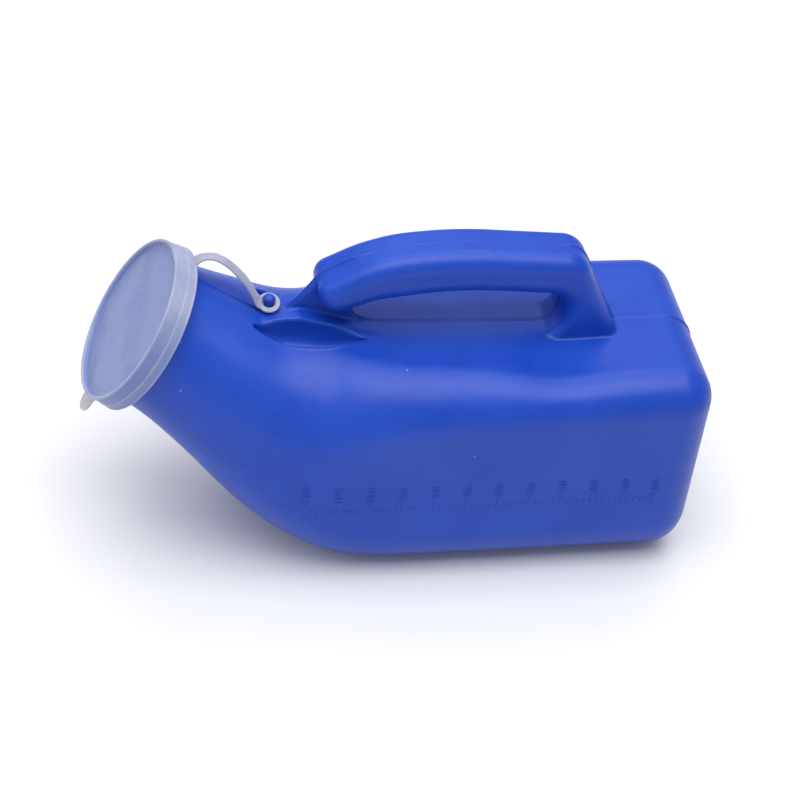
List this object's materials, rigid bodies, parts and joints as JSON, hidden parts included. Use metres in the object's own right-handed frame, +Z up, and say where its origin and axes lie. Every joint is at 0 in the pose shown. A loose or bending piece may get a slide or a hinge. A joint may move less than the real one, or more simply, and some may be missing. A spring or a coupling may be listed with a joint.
{
  "type": "urine bottle",
  "caption": "Male urinal bottle lying on its flat side, with an upturned round neck, hollow top grip, volume marks and a tethered push-on cap with a pull tab.",
  "frame": {"origin": "centre of the footprint of the whole object, on the surface that the bottle lies on", "axes": "+X towards the closed end, +Z up with the grip on top, Y = 0 is the mould's parting plane; the neck points towards -X and 32.5 degrees above horizontal"},
  "size_m": [0.2414, 0.0943, 0.1332],
  "materials": {
    "bottle_plastic": "satin blow-moulded polyethylene, translucent blue, fine mould texture",
    "cap_plastic": "satin injection-moulded soft polyethylene, milky and translucent"
  },
  "bodies": {
    "bottle": {"neck_tube": "bottle_plastic", "shoulder_shell": "bottle_plastic", "body_shell": "bottle_plastic", "grip": "bottle_plastic", "grip_web": "bottle_plastic", "strap_peg": "bottle_plastic", "volume_marks": "bottle_plastic", "cap_strap": "cap_plastic"},
    "cap": {"cap_lid": "cap_plastic", "pull_tab": "cap_plastic"},
    "eyelet": {"strap_eyelet": "cap_plastic"}
  },
  "joints": [
    {"name": "cap_flip", "type": "hinge", "parent": "bottle", "child": "cap", "pos_m": [-0.07663, 0.0042, 0.12319], "axis": [-0.0655, 0.9925, -0.1028], "range_deg": [0, 170], "deforming": ["cap_strap"]},
    {"name": "eyelet_swivel", "type": "hinge", "parent": "bottle", "child": "eyelet", "pos_m": [-0.0496, 0, 0.105], "axis": [0, -0.2079, 0.9781], "range_deg": [-15, 15], "deforming": ["cap_strap"]}
  ]
}
